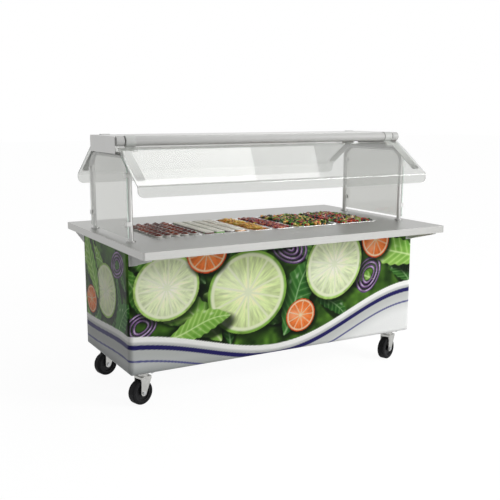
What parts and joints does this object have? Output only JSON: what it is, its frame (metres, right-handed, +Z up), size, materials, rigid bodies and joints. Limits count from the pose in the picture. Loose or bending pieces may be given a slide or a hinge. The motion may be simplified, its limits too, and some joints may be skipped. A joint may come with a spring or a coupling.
{
  "type": "salad bar",
  "caption": "Mobile chilled salad bar: moulded body on swivel casters, steel counter with a pan well, and a two-sided breath guard whose clear panels hinge up",
  "frame": {"origin": "On the floor under the middle of the counter, where the four tyres stand", "axes": "+X along the counter to the right as the customer faces the front, +Y from the front to the back, +Z up"},
  "size_m": [1.964, 1.288, 1.4735],
  "materials": {
    "body": "satin moulded wall under a printed film",
    "frame_steel": "dark powder coat",
    "galvanised": "dull galvanised sheet",
    "stainless": "brushed along the length",
    "bracket": "light grey powder coat",
    "foam": "rigid foam skin",
    "valve_brass": "cast and turned",
    "lever_red": "dipped grip",
    "pan_steel": "bright drawn steel",
    "cup": "thin white cups with a red-brown filling",
    "packet": "printed film packets",
    "food_orange": "moist shreds",
    "food_dark_red": "moist slices",
    "food_green": "moist leaves and pieces",
    "food_red": "moist mixed pieces",
    "tube_steel": "satin polished tube",
    "zinc": "zinc plate",
    "aluminium": "satin",
    "end_glass": "clear with a green edge",
    "clear_panel": "clear with polished edges",
    "arm": "grey powder coat",
    "fork": "bright zinc and lacquer",
    "hub": "moulded nylon",
    "tyre": "soft black rubber"
  },
  "bodies": {
    "frame": {"body_shell": "body", "base_frame": "frame_steel", "floor_panel": "galvanised", "counter_top": "stainless", "counter_brackets": "bracket", "well_liner": "stainless", "well_insulation": "foam", "false_bottom": "stainless", "adapter_bars": "stainless", "drain_tube": "stainless", "drain_valve": "valve_brass", "left_hoop": "tube_steel", "right_hoop": "tube_steel", "post_collars": "tube_steel", "post_nuts": "zinc", "left_end_plate": "aluminium", "right_end_plate": "aluminium", "left_end_glass": "end_glass", "right_end_glass": "end_glass", "glass_clips": "aluminium", "top_shelf": "stainless", "bearing_blocks": "aluminium", "caster_plates": "zinc", "caster_bolts": "zinc"},
    "front_guard": {"front_tube": "tube_steel", "front_arms": "arm", "front_panel": "clear_panel"},
    "rear_guard": {"rear_tube": "tube_steel", "rear_arms": "arm", "rear_panel": "clear_panel"},
    "drain_lever": {"valve_lever": "lever_red"},
    "cups": {"cup_tray": "pan_steel", "portion_cups": "cup"},
    "packets": {"packet_tray": "pan_steel", "dressing_packets": "packet"},
    "carrots": {"carrot_pan": "pan_steel", "carrot_food": "food_orange"},
    "beetroot": {"beetroot_pan": "pan_steel", "beetroot_food": "food_dark_red"},
    "greens": {"greens_pan": "pan_steel", "greens_food": "food_green"},
    "peppers": {"pepper_pan": "pan_steel", "pepper_food": "food_red"},
    "caster_front_left": {"fork_front_left": "fork", "axle_front_left": "zinc"},
    "wheel_front_left": {"hub_front_left": "hub", "tyre_front_left": "tyre"},
    "caster_front_right": {"fork_front_right": "fork", "axle_front_right": "zinc"},
    "wheel_front_right": {"hub_front_right": "hub", "tyre_front_right": "tyre"},
    "caster_rear_left": {"fork_rear_left": "fork", "axle_rear_left": "zinc"},
    "wheel_rear_left": {"hub_rear_left": "hub", "tyre_rear_left": "tyre"},
    "caster_rear_right": {"fork_rear_right": "fork", "axle_rear_right": "zinc"},
    "wheel_rear_right": {"hub_rear_right": "hub", "tyre_rear_right": "tyre"}
  },
  "joints": [
    {"name": "front_guard_hinge", "type": "hinge", "parent": "frame", "child": "front_guard", "pos_m": [0, -0.2, 1.444], "axis": [-1, 0, 0], "range_deg": [0, 105]},
    {"name": "rear_guard_hinge", "type": "hinge", "parent": "frame", "child": "rear_guard", "pos_m": [0, 0.2, 1.444], "axis": [1, 0, 0], "range_deg": [0, 105]},
    {"name": "drain_lever_turn", "type": "hinge", "parent": "frame", "child": "drain_lever", "pos_m": [0, 0.024, 0.149], "axis": [0, 1, 0], "range_deg": [0, 90]},
    {"name": "cups_lift", "type": "slide", "parent": "frame", "child": "cups", "axis": [0, 0, 1], "range_m": [0, 0.2]},
    {"name": "packets_lift", "type": "slide", "parent": "frame", "child": "packets", "axis": [0, 0, 1], "range_m": [0, 0.2]},
    {"name": "carrots_lift", "type": "slide", "parent": "frame", "child": "carrots", "axis": [0, 0, 1], "range_m": [0, 0.2]},
    {"name": "beetroot_lift", "type": "slide", "parent": "frame", "child": "beetroot", "axis": [0, 0, 1], "range_m": [0, 0.2]},
    {"name": "greens_lift", "type": "slide", "parent": "frame", "child": "greens", "axis": [0, 0, 1], "range_m": [0, 0.2]},
    {"name": "peppers_lift", "type": "slide", "parent": "frame", "child": "peppers", "axis": [0, 0, 1], "range_m": [0, 0.2]},
    {"name": "swivel_front_left", "type": "hinge", "parent": "frame", "child": "caster_front_left", "pos_m": [-0.861, -0.29, 0.18], "axis": [0, 0, 1], "continuous": true},
    {"name": "roll_front_left", "type": "hinge", "parent": "caster_front_left", "child": "wheel_front_left", "pos_m": [-0.88204, -0.29643, 0.07], "axis": [-0.2924, 0.9563, 0], "continuous": true},
    {"name": "swivel_front_right", "type": "hinge", "parent": "frame", "child": "caster_front_right", "pos_m": [0.861, -0.29, 0.18], "axis": [0, 0, 1], "continuous": true},
    {"name": "roll_front_right", "type": "hinge", "parent": "caster_front_right", "child": "wheel_front_right", "pos_m": [0.84046, -0.29788, 0.07], "axis": [-0.3584, 0.9336, 0], "continuous": true},
    {"name": "swivel_rear_left", "type": "hinge", "parent": "frame", "child": "caster_rear_left", "pos_m": [-0.861, 0.29, 0.18], "axis": [0, 0, 1], "continuous": true},
    {"name": "roll_rear_left", "type": "hinge", "parent": "caster_rear_left", "child": "wheel_rear_left", "pos_m": [-0.88235, 0.28468, 0.07], "axis": [-0.2419, 0.9703, 0], "continuous": true},
    {"name": "swivel_rear_right", "type": "hinge", "parent": "frame", "child": "caster_rear_right", "pos_m": [0.861, 0.29, 0.18], "axis": [0, 0, 1], "continuous": true},
    {"name": "roll_rear_right", "type": "hinge", "parent": "caster_rear_right", "child": "wheel_rear_right", "pos_m": [0.83996, 0.28357, 0.07], "axis": [-0.2924, 0.9563, 0], "continuous": true}
  ]
}
